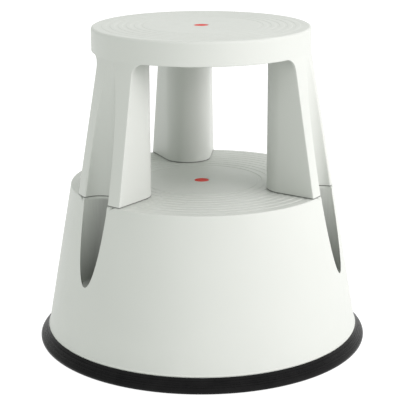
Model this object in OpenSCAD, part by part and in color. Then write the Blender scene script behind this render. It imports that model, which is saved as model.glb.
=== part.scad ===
// Round two-step kick stool on three sprung swivel castors.
// Origin on the floor under the centre, +Z up, millimetres. The legs stand at 90, 210 and 330 degrees.

/* [Steps and outline] */
// Height of the top step above the floor
total_h = 430; // [426:1:440]
// Radius of the top step
top_r = 142.5; // [140:0.5:146]
// Height of the skirt round the top step
skirt_h = 31; // [26:1:34]
// Height of the lower step above the floor
step_h = 223; // [220:1:226]
// Radius of the drum where the bumper ring starts
foot_r = 208.5; // [206:0.5:212]
// General wall thickness of the mouldings
wall = 3.5; // [3:0.25:4]
// Thickness of the two step plates
plate = 4.5; // [4:0.25:5]
// Rounding of the rim of the top step
rim_r = 3.5; // [2:0.5:4]

/* [Legs] */
// Half the angle that a leg spans
leg_half_angle = 15; // [14:0.5:16]
// Distance of the leg's rounded nose centre from the stool's axis
nose_c = 125; // [123:0.5:127]
// Radius of the rounding at the upper corners of the openings
corner_r = 15; // [10:1:18]
// Gap between the legs and the lower step
seam = 0.8; // [0.4:0.1:1.2]

/* [Niches] */
// Distance of the deepest line of the niche from the stool's axis
niche_depth_r = 143; // [142.6:0.1:144]
// Radius of the niche in the drum
niche_r = 25; // [24:0.25:25.5]
// Radius of the niche at the foot of a leg
leg_niche_r = 24.3; // [23.5:0.1:24.5]
// Radius of the niche at the top of a leg
leg_niche_top_r = 21.6; // [21:0.1:23]
// Height of the niche's floor
niche_floor = 112.5; // [111:0.5:120]

/* [Bumper] */
// Height of the bumper ring's upper edge
bumper_top = 27.5; // [26:0.5:30]
// Largest radius of the bumper ring
bumper_r = 220.3; // [218:0.1:222]
// Gap between the bumper ring and the floor while the castors carry the stool
bumper_gap = 4.5; // [4:0.1:5]

/* [Castors] */
// Distance of the castor's swivel axis from the stool's axis
castor_pcr = 147; // [144:1:148]
// Radius of the wheel
wheel_r = 25; // [24:0.5:25]
// Distance from the swivel axis to the wheel's axle
trail = 16; // [14:1:18]
// Width of the tread
tyre_w = 19; // [17:1:19]
// Radial clearance of pins and plungers in their bores
run_fit = 0.05; // [0.03:0.01:0.08]
// Number of turns of the spring
spring_turns = 6; // [5:1:7]
// Radius of the spring's wire
spring_wire_r = 1.5; // [1.25:0.25:1.75]

/* [Hidden] */
$fn = 96;
eps = 0.5;

leg_angles = [90, 210, 330];
castor_angles = [30, 150, 270];

// Outline
skirt_z = total_h - skirt_h;
slope = (foot_r - top_r) / (skirt_z - bumper_top);
foot_z = 9.5;
leg_z = step_h + seam;
plate_z = total_h - plate;
skirt_chamfer = 0.8;
step_chamfer = 1.6;
step_under = step_h - plate;

// Anti-slip rings of the steps
groove_w = 1.4;
groove_d = 0.6;
top_grooves = concat([for (i = [0:2]) 86 + 5 * i], [for (i = [0:4]) 114 + 5 * i]);
step_grooves = [for (i = [0:2]) 78 + 5 * i];

// Centre caps
cap_r = 9.6;
cap_t = 1.4;
cap_sunk = 0.2;
cap_hole_r = 4;
stem_slot = 1.2;

// Ribs
rib_t = 2.5;
top_rib_h = 10;
step_rib_h = 18;
hub_r = 13;
rib_ring_r = 75;

// Screws of the legs
boss_r = 4.6;
boss_h = 28;
screw_r = 2;
pilot_r = 2.05;
screw_len = 24;
head_r = 4.2;
head_h = 2.6;
washer_r = 5;
washer_t = 0.8;
wing_boss_s = 158;
boss_inset = wall + boss_r - 0.8;
nose_r = nose_c * sin(leg_half_angle);
boss_places = concat([[nose_c - nose_r + boss_inset, 0]],
    [for (s = [-1, 1]) [wing_boss_s * cos(leg_half_angle) + boss_inset * sin(leg_half_angle),
        s * (wing_boss_s * sin(leg_half_angle) - boss_inset * cos(leg_half_angle))]]);

// Castor, heights above the floor
fork_gap = 4;
crown_z = 2 * wheel_r + fork_gap;
crown_t = 4;
slip_z = crown_z + crown_t + 0.3;
slip_t = 2.4;
plunger_z = slip_z + slip_t + 0.3;
plunger_r = 14;
guide_z = plunger_z + 5;
guide_flange_t = 4;
socket_z = guide_z + guide_flange_t;
guide_len = 52;
guide_top = socket_z + guide_len;
collar_z = guide_top + 0.3;
collar_t = 5;
collar_r = 18.3;
plunger_top = collar_z + collar_t;
socket_r = 19;
socket_wall = 3;
seat_t = 2;
spring_room = 52;
shoulder_z = plunger_top + spring_room + seat_t;
shoulder_r = 10;
lobe_r = 6.5;
lobe_y = 27;
lobe_h = 26;
guide_screw_r = 1.75;
guide_screw_len = 16;
guide_head_r = 3.4;
guide_head_h = 2.2;
pin_r = 6;
clip_z = plunger_top - 14;
clip_t = 1.2;
clip_groove_r = 4.8;
clip_r = 9;
clip_room_r = 10.5;
pin_head_r = 8.5;
pin_head_t = 2.4;

// Wheel and fork
hub_half = 11;
cheek_in = 11.5;
cheek_t = 2.5;
axle_r = 3;
axle_head_r = 5;
axle_head_t = 1.5;
rim_outer_r = wheel_r - 5.5;
tyre_round = 4;

function cone_r(z) = top_r + slope * (skirt_z - z);

module at_legs() {
    for (a = leg_angles) rotate(a) children();
}

module at_castor(i) {
    rotate(castor_angles[i - 1]) translate([castor_pcr, 0, 0]) children();
}

// Solid inside the outer surface of the stool, shrunk by inset, between two heights
module drum(inset, z0, z1) {
    translate([0, 0, z0]) cylinder(h = z1 - z0, r1 = cone_r(z0) - inset, r2 = cone_r(z1) - inset);
}

module envelope(inset, z0, z1) {
    drum(inset, z0, skirt_z);
    translate([0, 0, skirt_z]) cylinder(h = z1 - skirt_z, r = top_r - inset);
}

// Plan of a leg along +X: rounded nose and straight sides, shrunk by inset
module leg_plan(inset) {
    r = nose_r - inset;
    c = cos(leg_half_angle);
    s = sin(leg_half_angle);
    reach = 80;
    translate([nose_c, 0]) circle(r);
    polygon([[nose_c - r * s, r * c], [nose_c - r * s + reach * c, r * c + reach * s],
        [nose_c - r * s + reach * c, -r * c - reach * s], [nose_c - r * s, -r * c]]);
}

// Tapered hollow up the outside of a leg, its deepest line upright
module leg_niche(grow) {
    h = skirt_z - leg_z + 2;
    r1 = leg_niche_r + grow;
    r2 = leg_niche_top_r + grow;
    lean = atan((leg_niche_r - leg_niche_top_r) / h);
    translate([niche_depth_r + leg_niche_r, 0, leg_z - eps])
        rotate([0, -lean, 0]) cylinder(h = h, r1 = r1, r2 = r2);
}

module leg_block() {
    difference() {
        intersection() {
            translate([0, 0, leg_z]) linear_extrude(plate_z - leg_z + eps) leg_plan(0);
            envelope(0, leg_z - 1, total_h);
        }
        leg_niche(0);
    }
}

module leg_cavity() {
    difference() {
        intersection() {
            translate([0, 0, leg_z - 1]) linear_extrude(plate_z - leg_z + 1) leg_plan(wall);
            envelope(wall, leg_z - 1, total_h);
        }
        leg_niche(wall);
    }
}

// Web that rounds the upper corner of an opening beside a leg, a hair inside the outer surface
module corner_web() {
    z0 = skirt_z - corner_r - 0.3;
    z1 = skirt_z + 1;
    turn = asin(corner_r / top_r) + 0.2;
    sink = 0.25;
    back = wall + 0.3;
    difference() {
        rotate(leg_half_angle - 0.5) rotate_extrude(angle = turn + 0.5)
            polygon([[cone_r(z0) - back, z0], [cone_r(z0) - sink, z0], [top_r - sink, skirt_z],
                [top_r - sink, z1], [top_r - back, z1], [top_r - back, skirt_z]]);
        rotate(leg_half_angle + turn) translate([0, 0, z0])
            rotate([0, 90, 0]) cylinder(h = 200, r = corner_r);
    }
}

module leg_bosses() {
    for (p = boss_places) translate([p[0], p[1], step_h]) cylinder(h = boss_h, r = boss_r, $fn = 32);
}

module boss_holes() {
    for (p = boss_places)
        translate([p[0], p[1], step_h - 1]) cylinder(h = boss_h - 1, r = pilot_r, $fn = 24);
}

module grooves(radii, z) {
    for (r = radii) rotate_extrude()
        translate([r - groove_w / 2, z - groove_d]) square([groove_w, groove_d + 1]);
}

module radial_ribs(r, z, h, count, start) {
    for (i = [0:count - 1]) rotate(start + 360 * i / count)
        translate([hub_r - 2, -rib_t / 2, z]) cube([r - hub_r + 2, rib_t, h]);
}

module rib_ring(r, z, h) {
    translate([0, 0, z]) difference() {
        cylinder(h = h, r = r + rib_t / 2);
        translate([0, 0, -1]) cylinder(h = h + 2, r = r - rib_t / 2);
    }
}

module cap_seat(z) {
    translate([0, 0, z - cap_t - cap_sunk]) cylinder(h = cap_t + 1, r = cap_r + 0.2);
    translate([0, 0, z - 30]) cylinder(h = 30, r = cap_hole_r, $fn = 32);
}

module top_shell() {
    rotate_extrude() difference() {
        union() {
            polygon([[0, skirt_z], [top_r - skirt_chamfer, skirt_z], [top_r, skirt_z + skirt_chamfer],
                [top_r, total_h - rim_r], [0, total_h - rim_r]]);
            translate([0, skirt_z]) square([top_r - rim_r, skirt_h]);
            translate([top_r - rim_r, total_h - rim_r]) circle(rim_r, $fn = 32);
        }
        translate([-1, skirt_z - 1]) square([top_r - wall + 1, skirt_h - plate + 1]);
    }
}

module upper_moulding() {
    color([0.80, 0.82, 0.78]) difference() {
        union() {
            top_shell();
            at_legs() leg_block();
            at_legs() corner_web();
            at_legs() mirror([0, 1, 0]) corner_web();
        }
        at_legs() leg_cavity();
        grooves(top_grooves, total_h);
        cap_seat(total_h);
    }
    color([0.80, 0.82, 0.78]) difference() {
        union() {
            radial_ribs(top_r - wall + 1, plate_z - top_rib_h, top_rib_h + 1, 12, 0);
            rib_ring(rib_ring_r, plate_z - top_rib_h, top_rib_h + 1);
            translate([0, 0, plate_z - top_rib_h]) cylinder(h = top_rib_h + 1, r = hub_r);
            at_legs() leg_bosses();
        }
        at_legs() boss_holes();
        cap_seat(total_h);
    }
}

// Vertical round niche in the drum, grown by grow, with its floor at z
module drum_niche(grow, z) {
    translate([niche_depth_r + niche_r, 0, z]) cylinder(h = step_h + 1 - z, r = niche_r + grow);
}

module drum_shell() {
    edge_z = step_h - step_chamfer;
    rotate_extrude() difference() {
        polygon([[0, foot_z], [cone_r(foot_z), foot_z], [cone_r(edge_z), edge_z],
            [cone_r(step_h) - step_chamfer, step_h], [0, step_h]]);
        polygon([[-1, foot_z - 1], [cone_r(foot_z - 1) - wall, foot_z - 1],
            [cone_r(step_under) - wall, step_under], [-1, step_under]]);
    }
}

// Tube for a castor along +X, with screw lobes, a full rib outwards and a short one inwards
module socket_tube() {
    r = socket_r + socket_wall;
    h = step_under + 1 - socket_z;
    translate([0, 0, socket_z]) cylinder(h = h, r = r);
    for (s = [-1, 1]) translate([0, s * lobe_y, socket_z]) cylinder(h = lobe_h, r = lobe_r, $fn = 32);
    translate([r - 2, -rib_t / 2, socket_z]) cube([60, rib_t, h]);
    translate([-r - 40, -rib_t / 2, step_under - 50]) cube([42, rib_t, 51]);
}

module socket_bore() {
    translate([0, 0, socket_z - 1]) cylinder(h = shoulder_z - socket_z + 1, r = socket_r);
    translate([0, 0, shoulder_z - 1]) cylinder(h = 20, r = shoulder_r);
    for (s = [-1, 1]) translate([0, s * lobe_y, socket_z - 1])
        cylinder(h = guide_screw_len + 4, r = guide_screw_r + 0.05, $fn = 24);
}

module base_shell() {
    color([0.80, 0.82, 0.78]) difference() {
        union() {
            drum_shell();
            intersection() {
                union() {
                    at_legs() drum_niche(wall, niche_floor - wall);
                    for (i = [1:3]) at_castor(i) socket_tube();
                    radial_ribs(cone_r(0), step_under - step_rib_h, step_rib_h + 1, 12, 15);
                    rib_ring(rib_ring_r, step_under - step_rib_h, step_rib_h + 1);
                    translate([0, 0, step_under - step_rib_h]) cylinder(h = step_rib_h + 1, r = hub_r);
                }
                drum(wall / 2, foot_z, step_h - 1);
            }
        }
        at_legs() drum_niche(0, niche_floor);
        for (i = [1:3]) at_castor(i) socket_bore();
        at_legs() for (p = boss_places)
            translate([p[0], p[1], step_h - 30]) cylinder(h = 40, r = screw_r + 0.25, $fn = 24);
        grooves(step_grooves, step_h);
        cap_seat(step_h);
    }
}

// Section of the bumper: a slope down to a round edge, a flat foot, and a groove for the drum's edge
module bumper_section() {
    edge_r = 8;
    edge = [bumper_r - edge_r, bumper_gap + edge_r];
    top = [foot_r + 0.6, bumper_top];
    foot_in = cone_r(foot_z) - wall - 8;
    groove_z = foot_z - 0.1;
    open_z = bumper_top + 1;
    fit = 0.05;
    // Angle of the point where the slope touches the round edge
    touch = atan2(top[1] - edge[1], top[0] - edge[0]) - acos(edge_r / norm(top - edge));
    difference() {
        union() {
            polygon([[foot_in, bumper_gap], [edge[0], bumper_gap], edge,
                edge + edge_r * [cos(touch), sin(touch)], top,
                [foot_in + 5, bumper_top], [foot_in, bumper_top - 6]]);
            translate(edge) circle(edge_r, $fn = 64);
        }
        polygon([[cone_r(groove_z) - wall - fit, groove_z], [cone_r(groove_z) + fit, groove_z],
            [cone_r(open_z) + fit, open_z], [cone_r(open_z) - wall - fit, open_z]]);
    }
}

module bumper_ring() {
    color([0.08, 0.08, 0.08]) rotate_extrude() bumper_section();
}

// Press-in plug with a slotted stem, its face just below z
module centre_cap(z) {
    stem_z = z - plate - 8;
    stem_h = z - cap_sunk - 0.5 - stem_z;
    difference() {
        union() {
            translate([0, 0, z - cap_sunk - cap_t]) cylinder(h = cap_t, r = cap_r);
            translate([0, 0, stem_z]) cylinder(h = stem_h, r = cap_hole_r - 0.2, $fn = 32);
        }
        translate([-cap_r, -stem_slot / 2, stem_z - 1]) cube([2 * cap_r, stem_slot, 9]);
    }
}

module top_cap() {
    color([0.75, 0.15, 0.12]) centre_cap(total_h);
}

module step_cap() {
    color([0.75, 0.15, 0.12]) centre_cap(step_h);
}

// Cross-slotted pan-head screw pointing up, the underside of its head at z = 0
module pan_screw(r, length, hr, hh) {
    slot_w = 1;
    slot_d = 1.2;
    difference() {
        union() {
            cylinder(h = length, r = r, $fn = 24);
            translate([0, 0, -hh]) cylinder(h = hh, r = hr, $fn = 32);
        }
        for (a = [0, 90]) rotate(a)
            translate([-hr / 2, -slot_w / 2, -hh - 1]) cube([hr, slot_w, slot_d + 1]);
    }
}

module leg_screws() {
    color([0.70, 0.71, 0.73]) at_legs() for (p = boss_places)
        translate([p[0], p[1], step_under - washer_t]) pan_screw(screw_r, screw_len, head_r, head_h);
}

module leg_washers() {
    color([0.62, 0.63, 0.65]) at_legs() for (p = boss_places)
        translate([p[0], p[1], step_under - washer_t]) difference() {
            cylinder(h = washer_t, r = washer_r, $fn = 32);
            translate([0, 0, -1]) cylinder(h = 3, r = screw_r + 0.2, $fn = 24);
        }
}

module guide_screws() {
    color([0.70, 0.71, 0.73]) for (i = [1:3]) at_castor(i) for (s = [-1, 1])
        translate([0, s * lobe_y, guide_z])
            pan_screw(guide_screw_r, guide_screw_len, guide_head_r, guide_head_h);
}

module castor_guide(i) {
    color([0.20, 0.21, 0.22]) at_castor(i) difference() {
        union() {
            translate([0, 0, guide_z]) linear_extrude(guide_flange_t) {
                circle(socket_r + socket_wall + 1);
                square([2 * lobe_r, 2 * lobe_y], center = true);
                for (s = [-1, 1]) translate([0, s * lobe_y]) circle(lobe_r, $fn = 32);
            }
            translate([0, 0, socket_z - 1]) cylinder(h = guide_top - socket_z + 1, r = socket_r - 0.15);
        }
        translate([0, 0, guide_z - 1]) cylinder(h = guide_top - guide_z + 2, r = plunger_r + run_fit);
        for (s = [-1, 1]) translate([0, s * lobe_y, guide_z - 1])
            cylinder(h = guide_flange_t + 2, r = guide_screw_r + 0.15, $fn = 24);
    }
}

module plunger(i) {
    color([0.85, 0.85, 0.83]) at_castor(i) difference() {
        union() {
            translate([0, 0, plunger_z]) cylinder(h = plunger_top - plunger_z, r = plunger_r);
            translate([0, 0, collar_z]) cylinder(h = collar_t, r = collar_r);
        }
        translate([0, 0, plunger_z - 1]) cylinder(h = plunger_top - plunger_z + 2, r = pin_r + run_fit);
        translate([0, 0, clip_z - 0.3]) cylinder(h = plunger_top - clip_z + 1, r = clip_room_r);
    }
}

// Coil spring between z0 and z1: the wire's centre climbs a helix, closed by flat turns at both ends
module spring(i) {
    z0 = plunger_top + 0.2;
    z1 = shoulder_z - seat_t - 0.2;
    coil_r = 14.8;
    steps = 20;
    sides = 6;
    count = spring_turns * steps;
    rise = z1 - z0 - 2 * spring_wire_r;
    // Share of the height that is climbed at share t of the wire, flat over the first and last turn
    climb = function(t) min(1, max(0, (t * spring_turns - 0.9) / (spring_turns - 1.8)));
    points = [for (k = [0:count]) for (j = [0:sides - 1])
        let (a = 360 * k / steps, b = 360 * j / sides, r = coil_r + spring_wire_r * cos(b))
        [r * cos(a), r * sin(a),
            z0 + spring_wire_r + rise * climb(k / count) + spring_wire_r * sin(b)]];
    faces = concat([[for (j = [0:sides - 1]) j]],
        [for (k = [0:count - 1]) for (j = [0:sides - 1])
            let (n = (j + 1) % sides, a = k * sides, b = a + sides) [a + j, b + j, b + n, a + n]],
        [[for (j = [sides - 1:-1:0]) count * sides + j]]);
    color([0.55, 0.56, 0.58]) at_castor(i) polyhedron(points, faces);
}

module spring_seat(i) {
    color([0.66, 0.67, 0.68]) at_castor(i) translate([0, 0, shoulder_z - seat_t]) difference() {
        cylinder(h = seat_t, r = socket_r - 0.4);
        translate([0, 0, -1]) cylinder(h = seat_t + 2, r = shoulder_r);
    }
}

module swivel_washer(i) {
    color([0.90, 0.90, 0.88]) at_castor(i) translate([0, 0, slip_z]) difference() {
        cylinder(h = slip_t, r = plunger_r - 1);
        translate([0, 0, -1]) cylinder(h = slip_t + 2, r = pin_r + 0.1);
    }
}

module fork(i) {
    nose = 12;
    cheek_x = trail + 6;
    color([0.60, 0.61, 0.63]) at_castor(i) difference() {
        union() {
            translate([-nose, -cheek_in - cheek_t, crown_z])
                cube([nose + cheek_x, 2 * (cheek_in + cheek_t), crown_t]);
            for (s = [-1, 1]) translate([0, s * (cheek_in + cheek_t / 2) + cheek_t / 2, 0])
                rotate([90, 0, 0]) linear_extrude(cheek_t) {
                    polygon([[-nose, crown_z + crown_t], [trail - 7.5, wheel_r - 2],
                        [trail + 7.5, wheel_r - 2], [cheek_x, crown_z + crown_t]]);
                    translate([trail, wheel_r]) circle(8);
                }
        }
        translate([0, 0, crown_z - 1]) cylinder(h = crown_t + 2, r = pin_r + 0.03);
        translate([trail, 30, wheel_r]) rotate([90, 0, 0]) cylinder(h = 60, r = axle_r + 0.03, $fn = 48);
    }
}

module king_pin(i) {
    color([0.72, 0.73, 0.75]) at_castor(i) difference() {
        union() {
            translate([0, 0, crown_z - 1]) cylinder(h = clip_z + 4 - crown_z, r = pin_r);
            translate([0, 0, crown_z - pin_head_t]) cylinder(h = pin_head_t, r = pin_head_r);
        }
        translate([0, 0, clip_z - 0.05]) difference() {
            cylinder(h = clip_t + 0.1, r = pin_r + 1);
            translate([0, 0, -1]) cylinder(h = clip_t + 2, r = clip_groove_r);
        }
    }
}

module pin_clip(i) {
    color([0.35, 0.36, 0.38]) at_castor(i) translate([0, 0, clip_z]) difference() {
        cylinder(h = clip_t, r = clip_r);
        translate([0, 0, -1]) cylinder(h = clip_t + 2, r = clip_groove_r + 0.05);
        translate([0, -clip_groove_r + 0.6, -1]) cube([20, 2 * clip_groove_r - 1.2, clip_t + 2]);
    }
}

module axle(i) {
    reach = cheek_in + cheek_t + 0.1;
    color([0.72, 0.73, 0.75]) at_castor(i) translate([trail, 0, wheel_r]) rotate([90, 0, 0]) {
        cylinder(h = 2 * reach, r = axle_r, center = true, $fn = 48);
        for (s = [-1, 1]) translate([0, 0, s * (reach + axle_head_t / 2 - 0.05)])
            cylinder(h = axle_head_t, r = axle_head_r, center = true, $fn = 48);
    }
}

module wheel(i) {
    web_half = 2.5;
    rim_half = 8.5;
    bore_r = axle_r + run_fit;
    color([0.30, 0.31, 0.33]) at_castor(i) translate([trail, 0, wheel_r]) rotate([90, 0, 0])
        rotate_extrude() {
            translate([bore_r, -hub_half]) square([7 - bore_r, 2 * hub_half]);
            translate([6, -web_half]) square([rim_outer_r - 6, 2 * web_half]);
            translate([rim_outer_r - 2.5, -rim_half]) square([2.5, 2 * rim_half]);
        }
}

module tyre(i) {
    half = tyre_w / 2;
    flat = half - tyre_round;
    inner = rim_outer_r + 0.05;
    color([0.12, 0.12, 0.12]) at_castor(i) translate([trail, 0, wheel_r]) rotate([90, 0, 0])
        rotate_extrude() difference() {
            union() {
                translate([inner, -half]) square([wheel_r - inner - tyre_round, 2 * half]);
                translate([inner, -flat]) square([wheel_r - inner, 2 * flat]);
                for (s = [-1, 1]) translate([wheel_r - tyre_round, s * flat])
                    circle(tyre_round, $fn = 32);
            }
            translate([0, -wheel_r]) square([inner, 2 * wheel_r]);
        }
}

upper_moulding();
base_shell();
bumper_ring();
top_cap();
step_cap();
leg_screws();
leg_washers();
guide_screws();
castor_guide(1);  // castor_guide_1
castor_guide(2);  // castor_guide_2
castor_guide(3);  // castor_guide_3
plunger(1);  // plunger_1
plunger(2);  // plunger_2
plunger(3);  // plunger_3
spring(1);  // spring_1
spring(2);  // spring_2
spring(3);  // spring_3
spring_seat(1);  // spring_seat_1
spring_seat(2);  // spring_seat_2
spring_seat(3);  // spring_seat_3
swivel_washer(1);  // swivel_washer_1
swivel_washer(2);  // swivel_washer_2
swivel_washer(3);  // swivel_washer_3
fork(1);  // fork_1
fork(2);  // fork_2
fork(3);  // fork_3
king_pin(1);  // king_pin_1
king_pin(2);  // king_pin_2
king_pin(3);  // king_pin_3
pin_clip(1);  // pin_clip_1
pin_clip(2);  // pin_clip_2
pin_clip(3);  // pin_clip_3
axle(1);  // axle_1
axle(2);  // axle_2
axle(3);  // axle_3
wheel(1);  // wheel_1
wheel(2);  // wheel_2
wheel(3);  // wheel_3
tyre(1);  // tyre_1
tyre(2);  // tyre_2
tyre(3);  // tyre_3
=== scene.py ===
import math

import bmesh
import bpy
from mathutils import Matrix, Vector


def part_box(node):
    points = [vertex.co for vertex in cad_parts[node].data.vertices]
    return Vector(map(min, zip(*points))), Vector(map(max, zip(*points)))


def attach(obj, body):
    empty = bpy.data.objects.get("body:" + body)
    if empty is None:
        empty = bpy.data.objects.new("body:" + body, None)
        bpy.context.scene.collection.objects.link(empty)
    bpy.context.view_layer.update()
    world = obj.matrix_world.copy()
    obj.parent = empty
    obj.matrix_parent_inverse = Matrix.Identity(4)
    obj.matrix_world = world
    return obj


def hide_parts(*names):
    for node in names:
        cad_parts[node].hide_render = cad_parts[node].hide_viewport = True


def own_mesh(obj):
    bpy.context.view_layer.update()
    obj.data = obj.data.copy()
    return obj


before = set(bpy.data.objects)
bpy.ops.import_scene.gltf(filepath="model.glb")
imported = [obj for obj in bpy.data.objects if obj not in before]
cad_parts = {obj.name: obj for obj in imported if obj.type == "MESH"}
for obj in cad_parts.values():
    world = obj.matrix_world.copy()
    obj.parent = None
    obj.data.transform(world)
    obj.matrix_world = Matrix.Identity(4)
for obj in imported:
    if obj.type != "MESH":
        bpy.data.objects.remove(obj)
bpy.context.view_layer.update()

DEG = math.pi / 180

# Heights and radii of the stool, in metres, from the frame
TOP_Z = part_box("upper_moulding")[1].z
LEG_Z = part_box("upper_moulding")[0].z
STEP_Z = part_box("base_shell")[1].z
FOOT_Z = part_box("base_shell")[0].z
BUMPER_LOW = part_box("bumper_ring")[0].z
BUMPER_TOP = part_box("bumper_ring")[1].z
BUMPER_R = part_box("bumper_ring")[1].x
CAP_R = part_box("top_cap")[1].x
WHEEL_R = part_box("tyre_1")[1].z / 2

# Outline of the mouldings
TOP_R = 0.1425
SKIRT_Z = TOP_Z - 0.031
FOOT_R = 0.2085
SLOPE = (FOOT_R - TOP_R) / (SKIRT_Z - BUMPER_TOP)
WALL = 0.0035
PLATE = 0.0045
RIM_R = 0.0035
HALF_LEG = 15 * DEG
SIXTH = 60 * DEG
LEG_ANGLES = [90 * DEG, 210 * DEG, 330 * DEG]
NOSE_C = 0.125
NOSE_R = NOSE_C * math.sin(HALF_LEG)
CORNER_R = 0.015
NICHE_DEPTH = 0.143
LEG_NICHE_R = 0.0243
LEG_NICHE_TOP_R = 0.0216
DRUM_NICHE_R = 0.025
NICHE_FLOOR = 0.1125
RIB_T = 0.0025
RIB_RING_R = 0.075
HUB_R = 0.013

# Castors
CASTOR_ANGLES = [30 * DEG, 150 * DEG, 270 * DEG]
CASTOR_R = 0.147
TRAIL = 0.016
TYRE_W = 0.019


def mix(a, b, t):
    return a + (b - a) * t


def smooth(t):
    t = min(1, max(0, t))
    return t * t * (3 - 2 * t)


def cone_r(z):
    return TOP_R + SLOPE * max(0, SKIRT_Z - z)


def polar(theta, r, z):
    return (r * math.cos(theta), r * math.sin(theta), z)


def arc(cx, cy, r, start, end, n):
    angles = [mix(start, end, i / n) for i in range(n + 1)]
    return [(cx + r * math.cos(a), cy + r * math.sin(a)) for a in angles]


class Patches:
    """Quads of one piece, gathered grid by grid and joined where their edges meet."""

    def __init__(self):
        self.points = []
        self.faces = []

    def grid(self, rows):
        """Joins neighbouring rows of points, all of the same length, with quads."""
        base = len(self.points)
        width = len(rows[0])
        for row in rows:
            assert len(row) == width
            self.points.extend(row)
        for i in range(len(rows) - 1):
            for j in range(width - 1):
                a = base + i * width + j
                self.faces.append((a, a + 1, a + width + 1, a + width))

    def capped(self, rows):
        """Closed solid through a row of loops, with a face over each end."""
        self.loops(rows)
        for row in (rows[0], rows[-1]):
            base = len(self.points)
            self.points.extend(row)
            self.faces.append(tuple(range(base, base + len(row))))

    def loops(self, rows):
        """Joins neighbouring closed rows, whose last point joins the first."""
        self.grid([row + [row[0]] for row in rows])

    def add(self, other):
        base = len(self.points)
        self.points.extend(other.points)
        self.faces.extend(tuple(base + i for i in f) for f in other.faces)

    def moved(self, matrix):
        result = Patches()
        result.points = [tuple(matrix @ Vector(p)) for p in self.points]
        result.faces = list(self.faces)
        return result

    def six(self):
        """The whole stool from one sixth: the sixth and its mirror image, at each leg."""
        whole = Patches()
        for angle in LEG_ANGLES:
            for flip in (1, -1):
                whole.add(self.moved(Matrix.Rotation(angle, 4, "Z") @ Matrix.Scale(flip, 4, (0, 1, 0))))
        return whole

    def build(self, name, sharp=30, weighted=True, merge=2e-6):
        mesh = bpy.data.meshes.new(name)
        bm = bmesh.new()
        verts = [bm.verts.new(p) for p in self.points]
        for f in self.faces:
            corners = []
            for i in f:
                if all((verts[i].co - c.co).length > merge for c in corners):
                    corners.append(verts[i])
            if len(corners) > 2:
                try:
                    bm.faces.new(corners)
                except ValueError:
                    pass
        bmesh.ops.remove_doubles(bm, verts=bm.verts, dist=merge)
        bmesh.ops.delete(bm, geom=[v for v in bm.verts if not v.link_faces], context="VERTS")
        bmesh.ops.recalc_face_normals(bm, faces=bm.faces)
        bm.to_mesh(mesh)
        bm.free()
        return finish_mesh(mesh, name, sharp, weighted)


def finish_mesh(mesh, name, sharp=30, weighted=True):
    mesh.shade_smooth()
    mesh.set_sharp_from_angle(angle=sharp * DEG)
    piece = bpy.data.objects.new(name, mesh)
    bpy.context.scene.collection.objects.link(piece)
    if weighted:
        modifier = piece.modifiers.new("even_normals", "WEIGHTED_NORMAL")
        modifier.keep_sharp = True
    return piece


# ---------------------------------------------------------------- profiles and lathes


def rounded(points, n=4):
    """Outline of (r, z, cut) with rounded corners; each curve starts and ends cut from its corner."""
    result = []
    for i, (x, y, cut) in enumerate(points):
        if cut == 0 or i in (0, len(points) - 1):
            result.append((x, y))
            continue
        here = Vector((x, y))
        before = Vector(points[i - 1][:2])
        after = Vector(points[i + 1][:2])
        a = here + (before - here).normalized() * cut
        b = here + (after - here).normalized() * cut
        for k in range(n + 1):
            t = k / n
            result.append(tuple(a * (1 - t) ** 2 + here * 2 * t * (1 - t) + b * t * t))
    return result


def lathe(profile, segments=64, closed=False):
    """Turns an outline of (r, z) about Z."""
    outline = list(profile) + ([profile[0]] if closed else [])
    whole = Patches()
    angles = [2 * math.pi * j / segments for j in range(segments + 1)]
    whole.grid([[polar(a, r, z) for r, z in outline] for a in angles])
    return whole


def box_patch(x0, x1, y0, y1, z0, z1):
    whole = Patches()
    whole.points = [(x, y, z) for x in (x0, x1) for y in (y0, y1) for z in (z0, z1)]
    whole.faces = [(0, 1, 3, 2), (4, 6, 7, 5), (0, 4, 5, 1), (2, 3, 7, 6), (0, 2, 6, 4), (1, 5, 7, 3)]
    return whole


# ---------------------------------------------------------------- upper moulding

EDGE = 0.0012
FOOT_EDGE = 0.0006
NICHE_COLS, SOFT_COLS, WING_COLS = 12, 6, 8
EDGE_COLS, FLANK_COLS, NOSE_COLS = 4, 5, 14
CORNER_COLS, OPENING_COLS = 12, 20
MIN_NICHE = 2.4 * DEG
LEG_SOFT = 0.0022
TANGENT_Z = SKIRT_Z - CORNER_R
SKIRT_ROW = SKIRT_Z + EDGE + 0.0036
UNDER_Z = TOP_Z - PLATE
NOSE_TANGENT = NOSE_C * math.cos(HALF_LEG)
BAND_PITCH = 0.0105
BAND_SLOPE = 0.0007
BAND_START = 0.0755
TOP_RIB_H = 0.010


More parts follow.
